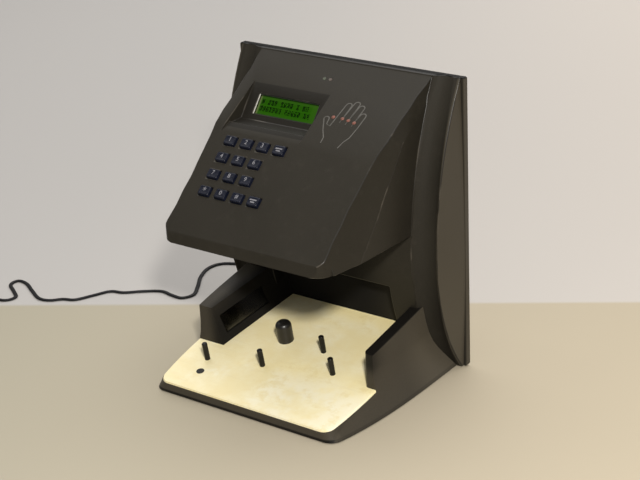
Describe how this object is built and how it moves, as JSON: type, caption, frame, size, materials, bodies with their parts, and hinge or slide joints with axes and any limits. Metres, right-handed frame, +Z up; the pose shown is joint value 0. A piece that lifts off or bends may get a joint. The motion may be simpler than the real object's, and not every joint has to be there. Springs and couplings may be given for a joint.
{
  "type": "biometric time clock",
  "caption": "Desk or wall time clock that reads the shape of a hand: flared housing with an overhanging keypad head, small display, tilted platen with guide pins and a flat power lead.",
  "frame": {"origin": "on the table under the middle of the clock's own box, without the lead", "axes": "+Z up, +X to the right seen from the front, the front with the platen and the keypad faces -Y"},
  "size_m": [0.6724, 0.2783, 0.296],
  "materials": {
    "shell": "fine-textured warm grey moulding",
    "dark_plastic": "plain dark moulding",
    "platen": "cream reflecting sheet",
    "pin_plastic": "smooth dark grey",
    "mirror": "front-silvered strip",
    "display_glass": "clear window over a green display",
    "circuit": "green circuit board",
    "rubber": "matt black rubber",
    "lamp_green": "tinted lens, unlit",
    "lamp_red": "tinted lens, unlit",
    "dark_glass": "infrared-passing dark acrylic",
    "battery": "shrink sleeve",
    "terminal": "green terminal moulding",
    "steel": "zinc-plated",
    "lead": "matt black flexible sheath",
    "brass": "plated contact blades",
    "key_plastic": "dark navy moulded key"
  },
  "bodies": {
    "clock": {"front_housing": "shell", "wall_plate": "shell", "head_floor": "shell", "base_shell": "shell", "base_cover": "dark_plastic", "platen": "platen", "finger_pins": "pin_plastic", "web_pin": "pin_plastic", "platen_plug": "pin_plastic", "side_mirror": "mirror", "display_window": "display_glass", "display_module": "circuit", "keypad_mat": "rubber", "keypad_board": "circuit", "status_lamp_green": "lamp_green", "status_lamp_red": "lamp_red", "optics_window": "dark_glass", "infrared_board": "circuit", "infrared_leds": "dark_glass", "camera_board": "circuit", "camera_lens": "dark_plastic", "main_board": "circuit", "backup_battery": "battery", "sounder": "dark_plastic", "power_jack": "dark_plastic", "terminal_block": "terminal", "rubber_feet": "rubber", "plate_screws": "steel", "base_screws": "steel", "floor_screws": "steel", "dc_plug": "lead", "cord": "lead", "cord_coil": "lead", "coil_tie": "lead", "plug_pack": "dark_plastic", "plug_pins": "brass"},
    "key_1": {"key_1": "key_plastic"},
    "key_2": {"key_2": "key_plastic"},
    "key_3": {"key_3": "key_plastic"},
    "key_clear": {"key_clear": "key_plastic"},
    "key_4": {"key_4": "key_plastic"},
    "key_5": {"key_5": "key_plastic"},
    "key_6": {"key_6": "key_plastic"},
    "key_7": {"key_7": "key_plastic"},
    "key_8": {"key_8": "key_plastic"},
    "key_9": {"key_9": "key_plastic"},
    "key_star": {"key_star": "key_plastic"},
    "key_0": {"key_0": "key_plastic"},
    "key_hash": {"key_hash": "key_plastic"},
    "key_enter": {"key_enter": "key_plastic"}
  },
  "joints": [
    {"name": "key_1_press", "type": "slide", "parent": "clock", "child": "key_1", "axis": [0, 0.6508, -0.7593], "range_m": [0, 0.0012], "stiffness_N_per_m": 400},
    {"name": "key_2_press", "type": "slide", "parent": "clock", "child": "key_2", "axis": [0, 0.6508, -0.7593], "range_m": [0, 0.0012], "stiffness_N_per_m": 400},
    {"name": "key_3_press", "type": "slide", "parent": "clock", "child": "key_3", "axis": [0, 0.6508, -0.7593], "range_m": [0, 0.0012], "stiffness_N_per_m": 400},
    {"name": "key_clear_press", "type": "slide", "parent": "clock", "child": "key_clear", "axis": [0, 0.6508, -0.7593], "range_m": [0, 0.0012], "stiffness_N_per_m": 400},
    {"name": "key_4_press", "type": "slide", "parent": "clock", "child": "key_4", "axis": [0, 0.6508, -0.7593], "range_m": [0, 0.0012], "stiffness_N_per_m": 400},
    {"name": "key_5_press", "type": "slide", "parent": "clock", "child": "key_5", "axis": [0, 0.6508, -0.7593], "range_m": [0, 0.0012], "stiffness_N_per_m": 400},
    {"name": "key_6_press", "type": "slide", "parent": "clock", "child": "key_6", "axis": [0, 0.6508, -0.7593], "range_m": [0, 0.0012], "stiffness_N_per_m": 400},
    {"name": "key_7_press", "type": "slide", "parent": "clock", "child": "key_7", "axis": [0, 0.6508, -0.7593], "range_m": [0, 0.0012], "stiffness_N_per_m": 400},
    {"name": "key_8_press", "type": "slide", "parent": "clock", "child": "key_8", "axis": [0, 0.6508, -0.7593], "range_m": [0, 0.0012], "stiffness_N_per_m": 400},
    {"name": "key_9_press", "type": "slide", "parent": "clock", "child": "key_9", "axis": [0, 0.6508, -0.7593], "range_m": [0, 0.0012], "stiffness_N_per_m": 400},
    {"name": "key_star_press", "type": "slide", "parent": "clock", "child": "key_star", "axis": [0, 0.6508, -0.7593], "range_m": [0, 0.0012], "stiffness_N_per_m": 400},
    {"name": "key_0_press", "type": "slide", "parent": "clock", "child": "key_0", "axis": [0, 0.6508, -0.7593], "range_m": [0, 0.0012], "stiffness_N_per_m": 400},
    {"name": "key_hash_press", "type": "slide", "parent": "clock", "child": "key_hash", "axis": [0, 0.6508, -0.7593], "range_m": [0, 0.0012], "stiffness_N_per_m": 400},
    {"name": "key_enter_press", "type": "slide", "parent": "clock", "child": "key_enter", "axis": [0, 0.6508, -0.7593], "range_m": [0, 0.0012], "stiffness_N_per_m": 400}
  ]
}
